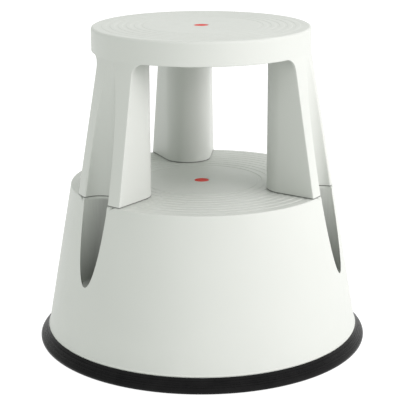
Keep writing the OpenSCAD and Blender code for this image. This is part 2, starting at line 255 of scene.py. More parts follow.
def leg_skin(z, inset, soft, end):
    """Outer surface of a leg at height z, from the deepest line of its niche to the angle end."""
    outer = cone_r(z) - inset
    share = min(1, (z - LEG_Z) / (SKIRT_Z - LEG_Z))
    niche = mix(LEG_NICHE_R, LEG_NICHE_TOP_R, share)
    centre = NICHE_DEPTH + niche
    niche += inset
    # Centre of the rounding between the niche and the outer surface
    reach = outer - soft
    x = (reach ** 2 - (niche + soft) ** 2 + centre ** 2) / (2 * centre)
    y = math.sqrt(max(0, reach ** 2 - x ** 2))
    edge = math.atan2(y, x) if outer > NICHE_DEPTH - inset else 0
    lean = math.atan2(y, x - centre)
    if edge > MIN_NICHE:
        points = arc(centre, 0, niche, math.pi, lean, NICHE_COLS)
        points += arc(x, y, soft, math.atan2(-y, centre - x), edge, SOFT_COLS)[1:]
        start = edge
    else:
        points = []
        touch = math.atan2(niche * math.sin(lean), centre + niche * math.cos(lean))
        for j in range(NICHE_COLS + SOFT_COLS + 1):
            a = MIN_NICHE * j / (NICHE_COLS + SOFT_COLS)
            r = outer
            if a < edge and a <= touch:
                r = centre * math.cos(a) - math.sqrt(niche ** 2 - (centre * math.sin(a)) ** 2)
            elif a < edge:
                middle = x * math.cos(a) + y * math.sin(a)
                r = middle + math.sqrt(max(0, middle ** 2 - x * x - y * y + soft ** 2))
            points.append((r * math.cos(a), r * math.sin(a)))
        start = MIN_NICHE
    return points + arc(0, 0, outer, start, end, WING_COLS)[1:]


def nose_arc(inset):
    return arc(NOSE_C, 0, NOSE_R - inset, math.pi / 2 + HALF_LEG, math.pi, NOSE_COLS)


def flank(z):
    """Side of a leg from the inner face of its outer wall round the nose to the middle."""
    start = cone_r(z) - WALL
    radii = [mix(start, NOSE_TANGENT, i / FLANK_COLS) for i in range(FLANK_COLS)]
    return [(r * math.cos(HALF_LEG), r * math.sin(HALF_LEG)) for r in radii] + nose_arc(0)


def on_skin(s, z, depth):
    """Point of the outer surface, s beside the leg's edge and depth below the surface."""
    return polar(HALF_LEG + s / TOP_R, cone_r(z) - depth, z)


def edge_strip(s, z, ds, dz):
    """Rounding of the opening's edge at (s, z), where (ds, dz) points away from the opening."""
    points = []
    for i in range(EDGE_COLS + 1):
        a = math.pi / 2 * i / EDGE_COLS
        back = EDGE * (1 - math.sin(a))
        points.append(on_skin(s + ds * back, z + dz * back, EDGE * (1 - math.cos(a))))
    return points


def leg_section(z):
    """Half outline of a leg below the skirt, from the niche's deepest line to the nose."""
    skin = leg_skin(z, 0, LEG_SOFT, HALF_LEG - EDGE / TOP_R)
    strip = [p[:2] for p in edge_strip(0, z, -1, 0)[1:]]
    return skin + strip + flank(z)


def leg_cavity(z):
    """Half outline of the hollow inside a leg, with as many points as leg_section."""
    edge = 0.0006
    outer = cone_r(z) - WALL
    turn = HALF_LEG - math.asin((WALL + edge) / (outer - edge))
    skin = leg_skin(z, WALL, edge, turn)
    x, y = (outer - edge) * math.cos(turn), (outer - edge) * math.sin(turn)
    tip = arc(x, y, edge, turn, math.pi / 2 + HALF_LEG, EDGE_COLS)[1:]
    nose = nose_arc(WALL)
    n = FLANK_COLS + 1
    side = [(mix(tip[-1][0], nose[0][0], i / n), mix(tip[-1][1], nose[0][1], i / n)) for i in range(1, n)]
    return skin + tip + side + nose


def shrunk(section, inset):
    """Half outline moved inwards by inset."""
    n = len(section)
    result = []
    for i, (x, y) in enumerate(section):
        before = section[i - 1] if i else (section[1][0], -section[1][1])
        after = section[i + 1] if i < n - 1 else (section[-2][0], -section[-2][1])
        dx, dy = after[0] - before[0], after[1] - before[1]
        length = math.hypot(dx, dy)
        result.append((x - inset * dy / length, y + inset * dx / length))
    return result


def lifted(section, z):
    return [(x, y, z) for x, y in section]


def band_depth(r, first, last, depth):
    """How far the anti-slip bands lie below the step at radius r: every second band is lowered."""
    if not first <= r <= last:
        return 0
    place = (r - first) % BAND_PITCH
    half = BAND_PITCH / 2
    up = min(place, half - place) if place < half else 0
    return depth * smooth(up / BAND_SLOPE)


def band_radii(first, last):
    """Radii that the bands' edges need, from the outside in."""
    half = BAND_PITCH / 2
    radii = set()
    r = first
    while r < last - 1e-6:
        for d in (0, BAND_SLOPE / 2, BAND_SLOPE, half - BAND_SLOPE, half - BAND_SLOPE / 2, half):
            radii.add(round(r + d, 6))
        r += BAND_PITCH
    return sorted(radii, reverse=True)


def cap_seat(z):
    """Outline of the shallow seat of a centre cap, in a plate whose top is at z."""
    low = z - 0.0016
    return [(CAP_R + 0.0006, z), (CAP_R + 0.0003, z - 0.0003), (CAP_R + 0.0002, low), (0, low)]


def upper_sixth():
    part = Patches()
    rows = 14
    wall_rows = 8

    # Edge of the opening: the rounded corner and the bottom of the skirt
    corner = [math.pi / 2 * i / CORNER_COLS for i in range(CORNER_COLS + 1)]
    outline = []
    for b in corner:
        across, up = math.cos(b), math.sin(b)
        outline.append((CORNER_R * (1 - across), TANGENT_Z + CORNER_R * up, -across, up))
    end_s = (SIXTH - HALF_LEG) * TOP_R
    level = [mix(CORNER_R, end_s, i / OPENING_COLS) for i in range(1, OPENING_COLS + 1)]
    outline += [(s, SKIRT_Z, 0, 1) for s in level]

    # Outer surface between the skirt and the opening's edge
    grid = []
    for k in range(rows + 1):
        t = k / rows
        z = mix(SKIRT_ROW, TANGENT_Z, t)
        row = lifted(leg_skin(z, 0, LEG_SOFT, HALF_LEG - EDGE / TOP_R), z)
        for s, edge_z, ds, dz in outline[1:]:
            row.append(on_skin(s + ds * EDGE, mix(SKIRT_ROW, edge_z + dz * EDGE, t), 0))
        grid.append(row)
    part.grid(grid)

    # Skirt, rim and top
    angles = [math.atan2(p[1], p[0]) for p in grid[0]]
    profile = [(TOP_R, mix(SKIRT_ROW, TOP_Z - RIM_R, i / 6)) for i in range(6)]
    profile += arc(TOP_R - RIM_R, TOP_Z - RIM_R, RIM_R, 0, math.pi / 2, 7)
    first, last = BAND_START, 0.1385
    profile += [(r, TOP_Z - band_depth(r, first, last, TOP_BAND)) for r in band_radii(first, last)[1:]]
    profile += [(r, TOP_Z) for r in (0.06, 0.045, 0.03, 0.018)] + cap_seat(TOP_Z)
    part.grid([[polar(a, r, z) for a in angles] for r, z in profile])

    # Legs, from the corner of the opening down to the rounded foot
    leg_rows = 40
    heights = [mix(TANGENT_Z, LEG_Z + FOOT_EDGE, i / leg_rows) for i in range(leg_rows + 1)]
    grid = [lifted(leg_section(z), z) for z in heights]
    foot = leg_section(LEG_Z + FOOT_EDGE)
    for i in range(1, 4):
        a = math.pi / 2 * i / 3
        section = shrunk(foot, FOOT_EDGE * (1 - math.cos(a)))
        grid.append(lifted(section, LEG_Z + FOOT_EDGE * (1 - math.sin(a))))
    part.grid(grid)
    part.grid([grid[-1], lifted(leg_cavity(LEG_Z), LEG_Z)])

    # Hollow of the leg and its ceiling
    hollow = [mix(LEG_Z, UNDER_Z, i / 24) for i in range(25)]
    part.grid([lifted(leg_cavity(z), z) for z in hollow])
    ceiling = leg_cavity(UNDER_Z)
    count = len(ceiling) - 1
    spine = [(mix(ceiling[0][0], ceiling[-1][0], i / count), 0, UNDER_Z) for i in range(count + 1)]
    part.grid([lifted(ceiling, UNDER_Z), spine])

    # Edge of the opening through the thickness of the wall
    grid = []
    inner = []
    for s, z, ds, dz in outline:
        lip = 0.0008 * dz * dz
        column = edge_strip(s, z, ds, dz)
        for i in range(4):
            a = math.pi / 2 * i / 3
            back = lip * (1 - math.cos(a))
            column.append(on_skin(s + ds * back, z + dz * back, WALL - lip * (1 - math.sin(a))))
        inner.append((s + ds * lip, z + dz * lip))
        grid.append(column)
    part.grid(grid)

    # Inside of the skirt
    grid = []
    for k in range(wall_rows + 1):
        t = k / wall_rows
        grid.append([on_skin(s, mix(z, UNDER_Z, t), WALL) for s, z in inner])
    part.grid(grid)
    heights = [mix(TANGENT_Z, UNDER_Z, k / wall_rows) for k in range(wall_rows + 1)]
    part.grid([lifted(flank(z), z) for z in heights])

    # Underside of the plate, with its ring and hub
    side_angles = [HALF_LEG + s / TOP_R for s, z in inner]
    middle = 0.088
    radii = [mix(TOP_R - WALL, NOSE_TANGENT, i / FLANK_COLS) for i in range(FLANK_COLS + 1)]
    radii += [mix(NOSE_TANGENT, middle, i / 3) for i in range(1, 4)]
    part.grid([[polar(a, r, UNDER_Z) for a in side_angles] for r in radii])
    nose = nose_arc(0)
    grid = []
    for i in range(4):
        spokes = [(math.atan2(y, x), mix(math.hypot(x, y), middle, i / 3)) for x, y in nose]
        grid.append([polar(a, r, UNDER_Z) for a, r in spokes])
    part.grid(grid)
    angles = [math.atan2(y, x) for x, y in reversed(nose)] + side_angles[1:]
    underside = ribbed_plate(middle, UNDER_Z, TOP_RIB_H)
    part.grid([[polar(a, r, z) for a in angles] for r, z in underside])
    return part


def ribbed_plate(start, z, rib_h):
    """Outline of a plate's underside from radius start to the centre, with a ring rib and a hub."""
    low = z - rib_h
    half = RIB_T / 2
    outline = [(start, z, 0), (RIB_RING_R + half, z, 0.001), (RIB_RING_R + half, low, 0.0005)]
    outline += [(RIB_RING_R - half, low, 0.0005), (RIB_RING_R - half, z, 0.001), (0.044, z, 0)]
    outline += [(HUB_R, z, 0.001), (HUB_R, low, 0.0006), (0.006, low, 0), (0, low, 0)]
    return rounded(outline, 3)


def radial_rib(angle, r0, r1, z0, z1):
    return box_patch(r0, r1, -RIB_T / 2, RIB_T / 2, z0, z1).moved(Matrix.Rotation(angle, 4, "Z"))


def prism(outline, half):
    """Closed slab with the outline (r, z), half thick to each side of y = 0."""
    part = Patches()
    part.capped([[(x, y, z) for x, z in outline] for y in (-half, half)])
    return part


def upper_shell():
    whole = upper_sixth().six()
    boss_top = LEG_Z + BOSS_H
    boss = [(0, LEG_Z, 0), (BOSS_R, LEG_Z, 0.0004), (BOSS_R, boss_top, 0.0006), (0, boss_top, 0)]
    places = [(NOSE_C - NOSE_R + BOSS_IN, 0)]
    for side in (-1, 1):
        x = WING_R * math.cos(HALF_LEG) + BOSS_IN * math.sin(HALF_LEG)
        places.append((x, side * (WING_R * math.sin(HALF_LEG) - BOSS_IN * math.cos(HALF_LEG))))
    for angle in LEG_ANGLES:
        for x, y in places:
            where = Matrix.Rotation(angle, 4, "Z") @ Matrix.Translation((x, y, 0))
            whole.add(lathe(rounded(boss, 3), 28).moved(where))
    for i in range(12):
        angle = i * 30 * DEG
        at_leg = i % 4 == 3
        reach = NOSE_C - NOSE_R + 0.001 if at_leg else TOP_R - WALL + 0.001
        whole.add(radial_rib(angle, HUB_R - 0.001, reach, UNDER_Z - 0.0098, UNDER_Z + 0.0005))
    return whole.build("upper_shell")


# ---------------------------------------------------------------- base shell

FRAME_ANGLE = 12.5 * DEG
FRAME_R = 0.128
FRAME_COLS, REST_COLS = 7, 20
STEP_EDGE = 0.0016
LIP = 0.0011
STEP_RIB_H = 0.018
TOP_BAND = 0.00034
STEP_BAND = 0.00048
RIB_TOP = STEP_Z - PLATE + 0.0005
SOCKET_Z = 0.070
SHOULDER_Z = 0.1813
LOBE_R = 0.0065
LOBE_H = 0.026
LOBE_Y = 0.027
BOSS_R = 0.0046
BOSS_H = 0.027
BOSS_IN = WALL + BOSS_R - 0.0008
WING_R = 0.158
BEAD_Z = BUMPER_TOP + 0.0016
BEAD_HALF = 0.0013
BEAD_H = 0.0008


def bead(z):
    """Height of the fine bead round the drum just above the bumper."""
    return BEAD_H * max(0, 1 - ((z - BEAD_Z) / BEAD_HALF) ** 2)


class DrumSkin:
    """One surface of the drum: cone, rounded rim and plane, with the outline of the niche in it."""

    def __init__(self, inset, plane_z, niche_r, floor_z, rim):
        self.inset = inset
        self.plane_z = plane_z
        self.niche_r = niche_r
        self.floor_z = floor_z
        rim_r = cone_r(plane_z) - inset
        lean = math.atan(SLOPE)
        self.low = (cone_r(FOOT_Z) - inset, FOOT_Z)
        a = (rim_r + rim * math.sin(lean), plane_z - rim * math.cos(lean))
        b = (rim_r - rim, plane_z)
        corner = (rim_r, plane_z)
        curve = []
        for i in range(7):
            t = i / 6
            one = [mix(a[k], corner[k], t) for k in range(2)]
            two = [mix(corner[k], b[k], t) for k in range(2)]
            curve.append((mix(one[0], two[0], t), mix(one[1], two[1], t)))
        self.outline = [self.low] + curve + [(0, plane_z)]
        self.marks = [0]
        for p, q in zip(self.outline, self.outline[1:]):
            self.marks.append(self.marks[-1] + math.dist(p, q))
        self.rim_start = self.marks[1]
        self.rim_end = self.marks[-2]

    def at(self, p):
        """(r, z) at distance p along the surface from the foot."""
        for i in range(len(self.marks) - 1):
            if p <= self.marks[i + 1] or i == len(self.marks) - 2:
                t = (p - self.marks[i]) / (self.marks[i + 1] - self.marks[i])
                r, z = (mix(self.outline[i][k], self.outline[i + 1][k], t) for k in range(2))
                return (r + (0 if self.inset else bead(z)), z)

    def place(self, r=None, z=None):
        """Distance along the surface at radius r of the plane or at height z of the cone."""
        if r is not None:
            return self.marks[-1] - r
        return (z - FOOT_Z) / (self.outline[1][1] - FOOT_Z) * self.rim_start

    def niche_point(self, psi):
        """(theta, p) where the niche's wall, at angle psi round its own axis, meets the surface."""
        centre = NICHE_DEPTH + DRUM_NICHE_R
        x, y = centre + self.niche_r * math.cos(psi), self.niche_r * math.sin(psi)
        r = math.hypot(x, y)
        low, high = 0, self.marks[-1]
        for _ in range(40):
            p = (low + high) / 2
            if self.at(p)[0] > r:
                low = p
            else:
                high = p
        return math.atan2(y, x), (low + high) / 2

    def edge_point(self, psi):
        """The same, but never below the niche's floor."""
        theta, p = self.niche_point(psi)
        floor_p = self.place(z=self.floor_z)
        if p >= floor_p:
            return theta, p
        turn = self.psi_at(floor_p)
        return self.niche_point(turn)[0] * psi / turn, floor_p

    def psi_at(self, p):
        low, high = 0, math.pi
        for _ in range(40):
            psi = (low + high) / 2
            if self.niche_point(psi)[1] < p:
                low = psi
            else:
                high = psi
        return (low + high) / 2

    def point(self, theta, p):
        r, z = self.at(p)
        return Vector(polar(theta, r, z))


def drum_surface(part, skin, plane_rows, inner_profile, groove, lip):
    """Adds one surface of the drum to a sixth of it, with the niche's wall and floor."""
    floor_p = skin.place(z=skin.floor_z)
    frame_low = skin.place(z=skin.floor_z - 0.014)
    frame_high = skin.place(r=FRAME_R)
    p_tip = max(skin.niche_point(0)[1], floor_p)
    p_end = skin.niche_point(math.pi)[1]
    p_one = mix(p_tip, p_end, 0.045)
    p_two = skin.place(r=NICHE_DEPTH - skin.inset + 0.006)

    # Rows on the right of the frame: the cone, the rim and the plane
    cone_rows = [mix(frame_low, skin.rim_start, i / 30) for i in range(31)]
    rim_rows = [skin.marks[i] for i in range(2, 8)]
    spare = 0.0004
    flat_radii = [r for r in plane_rows if FRAME_R + spare < r < skin.outline[-2][0] - spare]
    flat_rows = [skin.place(r=r) for r in flat_radii]
    side = cone_rows + rim_rows + flat_rows + [frame_high]

    # Angles round the niche's axis that belong to the frame's bottom, side and top
    floor_psi = skin.psi_at(floor_p) if skin.niche_point(0)[1] < floor_p else 0
    psi_one = max(skin.psi_at(p_one), floor_psi + 0.02)
    p_one = skin.niche_point(psi_one)[1]
    psis = [psi_one * (i / FRAME_COLS) for i in range(FRAME_COLS)]
    psis += [skin.psi_at(mix(p_one, p_two, (p - frame_low) / (frame_high - frame_low))) for p in side]
    psi_two = psis[-1]
    psis += [mix(psi_two, math.pi, i / FRAME_COLS) for i in range(1, FRAME_COLS + 1)]
    outer = [(FRAME_ANGLE * i / FRAME_COLS, frame_low) for i in range(FRAME_COLS)]
    outer += [(FRAME_ANGLE, p) for p in side]
    outer += [(FRAME_ANGLE * (1 - i / FRAME_COLS), frame_high) for i in range(1, FRAME_COLS + 1)]

    # Edge of the niche, its rounding, and where the wall starts below it
    edges = [skin.edge_point(psi) for psi in psis]
    spots = [skin.point(*e) for e in edges]
    centre = Vector((NICHE_DEPTH + DRUM_NICHE_R, 0, 0))
    offsets, ends = [], []
    step = 1e-5
    for i, (theta, p) in enumerate(edges):
        before = spots[i - 1] if i else Vector((spots[1].x, -spots[1].y, spots[1].z))
        after = spots[i + 1] if i < len(spots) - 1 else Vector((spots[-2].x, -spots[-2].y, spots[-2].z))
        along = (after - before).normalized()
        around = skin.point(theta + step, p) - spots[i]
        upward = skin.point(theta, p + step) - spots[i]
        normal = around.cross(upward).normalized()
        away = along.cross(normal).normalized()
        wall_normal = Vector((spots[i].x - centre.x, spots[i].y, 0)).normalized()
        down = along.cross(wall_normal).normalized()
        middle = Vector((centre.x, 0, spots[i].z))
        if away.dot(spots[i] - middle) < 0 and abs(away.z) < 0.999:
            away = -away
        if down.z > 0:
            down = -down
        near_rim = abs(p - (skin.rim_start + skin.rim_end) / 2) - 0.0025
        width = lip * mix(0.2, 1, smooth(near_rim / 0.006))
        offsets.append(away * width)
        ends.append(spots[i] + down * width)
    if lip:
        starts, bottoms = rounded_lip(part, skin, spots, offsets, ends)
    else:
        starts, bottoms = spots, spots

    # Surface between the niche's edge and the frame
    rings = 5
    grid = []
    for i, target in enumerate(outer):
        first = starts[i]
        begin = (math.atan2(first.y, first.x), nearest(skin, first) if lip else edges[i][1])
        column = [tuple(first)]
        for k in range(1, rings + 1):
            t = (k / rings) ** 1.3
            column.append(tuple(skin.point(mix(begin[0], target[0], t), mix(begin[1], target[1], t))))
        grid.append(column)
    part.grid(grid)

    # Rest of the cone and the outer part of the plane
    angles = [mix(FRAME_ANGLE, SIXTH, i / REST_COLS) for i in range(REST_COLS + 1)]

    def row(p):
        r, z = skin.at(p)
        result = []
        for a in angles:
            fade = smooth((a - FRAME_ANGLE) / (2 * DEG))
            sink = groove(r) * fade if p > skin.rim_end else 0
            result.append(polar(a, r, z - sink))
        return result

    part.grid([row(p) for p in side])
    all_angles = [FRAME_ANGLE * i / FRAME_COLS for i in range(FRAME_COLS)] + angles
    lower = [0] + [skin.place(z=BEAD_Z + BEAD_HALF * k / 4) for k in range(-4, 5)]
    lower += [mix(lower[-1], frame_low, i / 10) for i in range(1, 11)]
    part.grid([[polar(a, *skin.at(p)) for a in all_angles] for p in lower])
    part.grid([[polar(a, r, z) for a in all_angles] for r, z in inner_profile])

    # Wall and floor of the niche
    sweep = 0.0015 if lip else 0
    wall = []
    for b in bottoms:
        foot_z = min(skin.floor_z + sweep, b.z)
        column = [tuple(mix(b, Vector((b.x, b.y, foot_z)), k / 12)) for k in range(13)]
        out = Vector((b.x - centre.x, b.y, 0))
        for k in range(1, 5):
            a = math.pi / 2 * k / 4
            near = out * (1 - sweep * (1 - math.cos(a)) / skin.niche_r) if lip else out
            z = mix(foot_z, skin.floor_z, math.sin(a)) if lip else skin.floor_z
            column.append((centre.x + near.x, near.y, z))
        wall.append(column)
    part.grid(wall)
    rims = [Vector(c[-1]) for c in wall]
    floor_centre = Vector((centre.x, 0, skin.floor_z))
    part.grid([[tuple(mix(c, floor_centre, k / 6)) for c in rims] for k in range(7)])


def rounded_lip(part, skin, spots, offsets, ends):
    """Adds the rounding of the niche's edge, and gives the points where it starts and ends."""
    centre_x = NICHE_DEPTH + DRUM_NICHE_R
    steps = 5
    starts, bottoms, columns = [], [], []
    for i, spot in enumerate(spots):
        a = spot + offsets[i]
        turn = math.atan2(ends[i].y, ends[i].x - centre_x)
        x, y = centre_x + skin.niche_r * math.cos(turn), skin.niche_r * math.sin(turn)
        b = Vector((x, y, max(ends[i].z, skin.floor_z + 0.0004)))
        if i in (0, len(spots) - 1):
            a.y = 0
            b.y = 0
        column = []
        for k in range(steps + 1):
            t = k / steps
            column.append(tuple(a * (1 - t) ** 2 + spot * 2 * t * (1 - t) + b * t * t))
        starts.append(a)
        bottoms.append(b)
        columns.append(column)
    part.grid(columns)
    return starts, bottoms


def nearest(skin, spot):
    """Distance along the surface of the point nearest to spot."""
    target = (math.hypot(spot.x, spot.y), spot.z)
    count = 400
    best = min(range(count + 1), key=lambda i: math.dist(skin.at(skin.marks[-1] * i / count), target))
    step = skin.marks[-1] / count
    low, high = (best - 1) * step, (best + 1) * step
    for _ in range(30):
        one, two = mix(low, high, 1 / 3), mix(low, high, 2 / 3)
        if math.dist(skin.at(one), target) < math.dist(skin.at(two), target):
            high = two
        else:
            low = one
    return (low + high) / 2


def drum_sixth():
    part = Patches()
    first, last = BAND_START, 0.170
    under_z = STEP_Z - PLATE

    def sunk(r):
        return band_depth(r, first, last, STEP_BAND)

    outer = DrumSkin(0, STEP_Z, DRUM_NICHE_R, NICHE_FLOOR, STEP_EDGE)
    radii = band_radii(first, last)
    profile = [(FRAME_R, STEP_Z - sunk(FRAME_R))]
    profile += [(r, STEP_Z - sunk(r)) for r in radii if r < FRAME_R - 0.0004]
    profile += [(r, STEP_Z) for r in (0.06, 0.045, 0.03, 0.018)] + cap_seat(STEP_Z)
    drum_surface(part, outer, radii, profile, sunk, LIP)

    inner = DrumSkin(WALL, under_z, DRUM_NICHE_R + WALL, NICHE_FLOOR - WALL, 0.0006)
    underside = [(FRAME_R, under_z)] + ribbed_plate(0.11, under_z, STEP_RIB_H)
    drum_surface(part, inner, [0.165, 0.155, 0.145, 0.135], underside, lambda r: 0, 0)

    # Foot of the drum's wall
    angles = [FRAME_ANGLE * i / FRAME_COLS for i in range(FRAME_COLS)]
    angles += [mix(FRAME_ANGLE, SIXTH, i / REST_COLS) for i in range(REST_COLS + 1)]
    part.grid([[polar(a, cone_r(FOOT_Z) - d, FOOT_Z) for a in angles] for d in (0, WALL)])
    return part


def tower():
    """Socket of a castor guide, with its screw lobes and the two ribs that tie it to the drum."""
    bore_r, socket_r, seat_r, soft = 0.019, 0.022, 0.010, 0.0005
    outline = [(bore_r, SOCKET_Z, soft), (socket_r, SOCKET_Z, soft), (socket_r, RIB_TOP, 0)]
    outline += [(seat_r, RIB_TOP, 0), (seat_r, SHOULDER_Z, soft), (bore_r, SHOULDER_Z, soft)]
    whole = Patches()
    whole.add(lathe(rounded(outline, 3), 64, closed=True).moved(Matrix.Translation((CASTOR_R, 0, 0))))
    lobe_top = SOCKET_Z + LOBE_H
    lobe = [(0, SOCKET_Z, 0), (LOBE_R, SOCKET_Z, soft), (LOBE_R, lobe_top, 0.001), (0, lobe_top, 0)]
    for side in (-1, 1):
        whole.add(lathe(rounded(lobe, 3), 32).moved(Matrix.Translation((CASTOR_R, side * LOBE_Y, 0))))
    start = CASTOR_R + 0.020
    outward = [(start, SOCKET_Z), (inside_r(SOCKET_Z), SOCKET_Z), (inside_r(RIB_TOP), RIB_TOP)]
    whole.add(prism(outward + [(start, RIB_TOP)], RIB_T / 2))
    end, inward_r, inward_z = CASTOR_R - 0.020, 0.085, 0.1685
    inward = [(inward_r, inward_z), (end, inward_z), (end, RIB_TOP), (inward_r, RIB_TOP)]
    whole.add(prism(inward, RIB_T / 2))
    return whole


def inside_r(z):
    """Radius just inside the skin of the drum's wall, for ribs that run into it."""
    return cone_r(z) - WALL + 0.0008


def base_shell():
    whole = drum_sixth().six()
    low = STEP_Z - PLATE - STEP_RIB_H
    start = HUB_R - 0.001
    rib = [(start, low), (inside_r(low), low), (inside_r(RIB_TOP), RIB_TOP), (start, RIB_TOP)]
    for i in range(12):
        turn = Matrix.Rotation((15 + 30 * i) * DEG, 4, "Z")
        whole.add(prism(rib, RIB_T / 2).moved(turn))
    for angle in CASTOR_ANGLES:
        whole.add(tower().moved(Matrix.Rotation(angle, 4, "Z")))
    return whole.build("drum_shell")


# ---------------------------------------------------------------- bumper and caps


def bumper():
    edge_r = 0.004
    low = BUMPER_LOW
    heel_r = 0.200
    gap = 0.00005
    grooves, groove_half, groove_depth = (0.2, 0.38, 0.56, 0.74), 0.04, 0.0005
    edge_x, edge_z = BUMPER_R - edge_r, low + 0.0088
    top_x, top_z = FOOT_R + 0.0006, BUMPER_TOP
    inner = cone_r(FOOT_Z) - WALL - 0.008
    groove_z = FOOT_Z - 0.0001
    run = math.hypot(top_x - edge_x, top_z - edge_z)
    touch = math.atan2(top_z - edge_z, top_x - edge_x) - math.acos(edge_r / run)
    back = math.hypot(edge_x - heel_r, edge_z - low)
    leave = math.atan2(low - edge_z, heel_r - edge_x) + math.acos(edge_r / back)
    round_edge = arc(edge_x, edge_z, edge_r, leave, touch, 14)
    outline = [(inner + 0.001, low), (heel_r - 0.002, low), (heel_r + 0.0002, low + 0.0005)]
    outline += [(heel_r + 0.002, low + 0.0014)] + round_edge
    start, end = round_edge[-1], (top_x + 0.0003, top_z - 0.0004)
    normal = (math.cos(touch), math.sin(touch))
    steps = 64
    for k in range(1, steps):
        t = k / steps
        # Fine grooves run round the slope
        sink = groove_depth * max(max(0, 1 - ((t - c) / groove_half) ** 2) for c in grooves)
        outline.append(tuple(mix(start[i], end[i], t) - normal[i] * sink for i in range(2)))
    outline += [end, (top_x + gap, top_z), (cone_r(top_z) + gap, top_z)]
    outline += [(cone_r(groove_z) + gap, groove_z), (cone_r(groove_z) - WALL - gap, groove_z)]
    outline += [(cone_r(top_z) - WALL - gap, top_z), (inner + 0.005, top_z), (inner, top_z - 0.006)]
    outline += [(inner, low + 0.001)]
    return lathe(outline, 192, closed=True).build("bumper")


def centre_cap(name, z):
    face = z - 0.0002
    stem_r, stem_z = 0.0037, z - PLATE - 0.0078
    outline = [(0, face, 0), (CAP_R - 0.0012, face, 0), (CAP_R - 0.0001, face - 0.0001, 0.0004)]
    outline += [(CAP_R - 0.0001, face - 0.0014, 0.0003), (stem_r, face - 0.0014, 0.0002)]
    outline += [(stem_r, stem_z, 0.0008), (0, stem_z, 0)]
    return lathe(rounded(outline), 64).build(name)


# ---------------------------------------------------------------- castors


def castor_place(i):
    return Matrix.Rotation(CASTOR_ANGLES[i - 1], 4, "Z") @ Matrix.Translation((CASTOR_R, 0, 0))


def wheel_place(i):
    axle = Matrix.Translation((TRAIL, 0, WHEEL_R))
    return castor_place(i) @ axle @ Matrix.Rotation(math.pi / 2, 4, "X")


RIM_OUTER = WHEEL_R - 0.0055
HUB_HALF = 0.011
AXLE_R = 0.003
CHEEK_IN = 0.0115
CHEEK_T = 0.0025
CROWN_Z = 2 * WHEEL_R + 0.004
CROWN_T = 0.004


def tyre(i):
    half = TYRE_W / 2
    inner = RIM_OUTER + 0.00005
    soft, shoulder = 0.0008, 0.004
    outline = [(inner, -half + soft), (inner + soft, -half)]
    outline += arc(WHEEL_R - shoulder, -half + shoulder, shoulder, -math.pi / 2, 0, 7)
    # Three fine grooves in the tread
    for k in (-1, 0, 1):
        y = k * 0.0036
        outline += [(WHEEL_R, y - 0.0006), (WHEEL_R - 0.0007, y - 0.0003), (WHEEL_R - 0.0007, y + 0.0003)]
        outline += [(WHEEL_R, y + 0.0006)]
    outline += arc(WHEEL_R - shoulder, half - shoulder, shoulder, 0, math.pi / 2, 7)
    outline += [(inner + soft, half), (inner, half - soft)]
    return lathe(outline, 72, closed=True).moved(wheel_place(i)).build(f"tread_{i}", sharp=40)


def wheel(i):
    bore = AXLE_R + 0.00005
    web, rim_half, rim_in = 0.0015, 0.0085, RIM_OUTER - 0.0025
    hub_r, soft = 0.007, 0.0005
    half = [(bore, 0, 0), (bore, HUB_HALF, soft), (hub_r, HUB_HALF, soft), (hub_r, web, soft)]
    half += [(rim_in, web, soft), (rim_in, rim_half, soft), (RIM_OUTER, rim_half, soft), (RIM_OUTER, 0, 0)]
    upper = rounded(half, 3)
    outline = upper + [(x, -y) for x, y in reversed(upper[1:-1])]
    whole = lathe(outline, 64, closed=True)
    spokes = 6
    for k in range(spokes):
        turn = Matrix.Rotation(2 * math.pi * k / spokes, 4, "Z")
        whole.add(box_patch(0.0065, rim_in + 0.0005, -0.001, 0.001, -0.0068, 0.0068).moved(turn))
    return whole.moved(wheel_place(i)).build(f"wheel_core_{i}")


def fork(i):
    """Bent steel fork: a channel whose flanks run down to the axle."""
    top = CROWN_Z + CROWN_T
    back, front = -0.012, 0.022
    boss = 0.008
    outside, inside = CHEEK_IN + CHEEK_T, CHEEK_IN
    bend = 0.0022
    lower = arc(TRAIL, WHEEL_R, boss, -150 * DEG, 0, 12)
    start, first = (back, CROWN_Z - 0.0002), lower[0]
    stations = [(mix(start[0], first[0], k / 10), mix(start[1], first[1], k / 10)) for k in range(10)]
    stations += lower
    turns = [math.pi / 2 * k / 4 for k in range(5)]
    rows = []
    for x, z in stations:
        loop = [(-outside, z)]
        loop += [(-outside + bend * (1 - math.cos(a)), top - bend * (1 - math.sin(a))) for a in turns]
        loop += [(outside - bend * (1 - math.sin(a)), top - bend * (1 - math.cos(a))) for a in turns]
        loop += [(outside, z), (inside, z), (inside, CROWN_Z), (-inside, CROWN_Z), (-inside, z)]
        row = []
        for y, h in loop:
            # The front edge leans out by 2 mm from the crown to the axle
            share = (x - back) / (TRAIL + boss - back)
            lean = share * ((h - top) / (WHEEL_R - top)) * (TRAIL + boss - front)
            full = share * (front - back) + back
            row.append((full + lean, y, h))
        rows.append(row)
    whole = Patches()
    whole.capped(rows)
    piece = whole.moved(castor_place(i)).build(f"fork_bracket_{i}", weighted=False, merge=1e-6)
    soften = piece.modifiers.new("soft_edges", "BEVEL")
    soften.width = 0.0004
    soften.segments = 2
    soften.limit_method = "ANGLE"
    soften.angle_limit = 40 * DEG
    return piece


SPRING_TURNS = 6
SPRING_WIRE = 0.0015


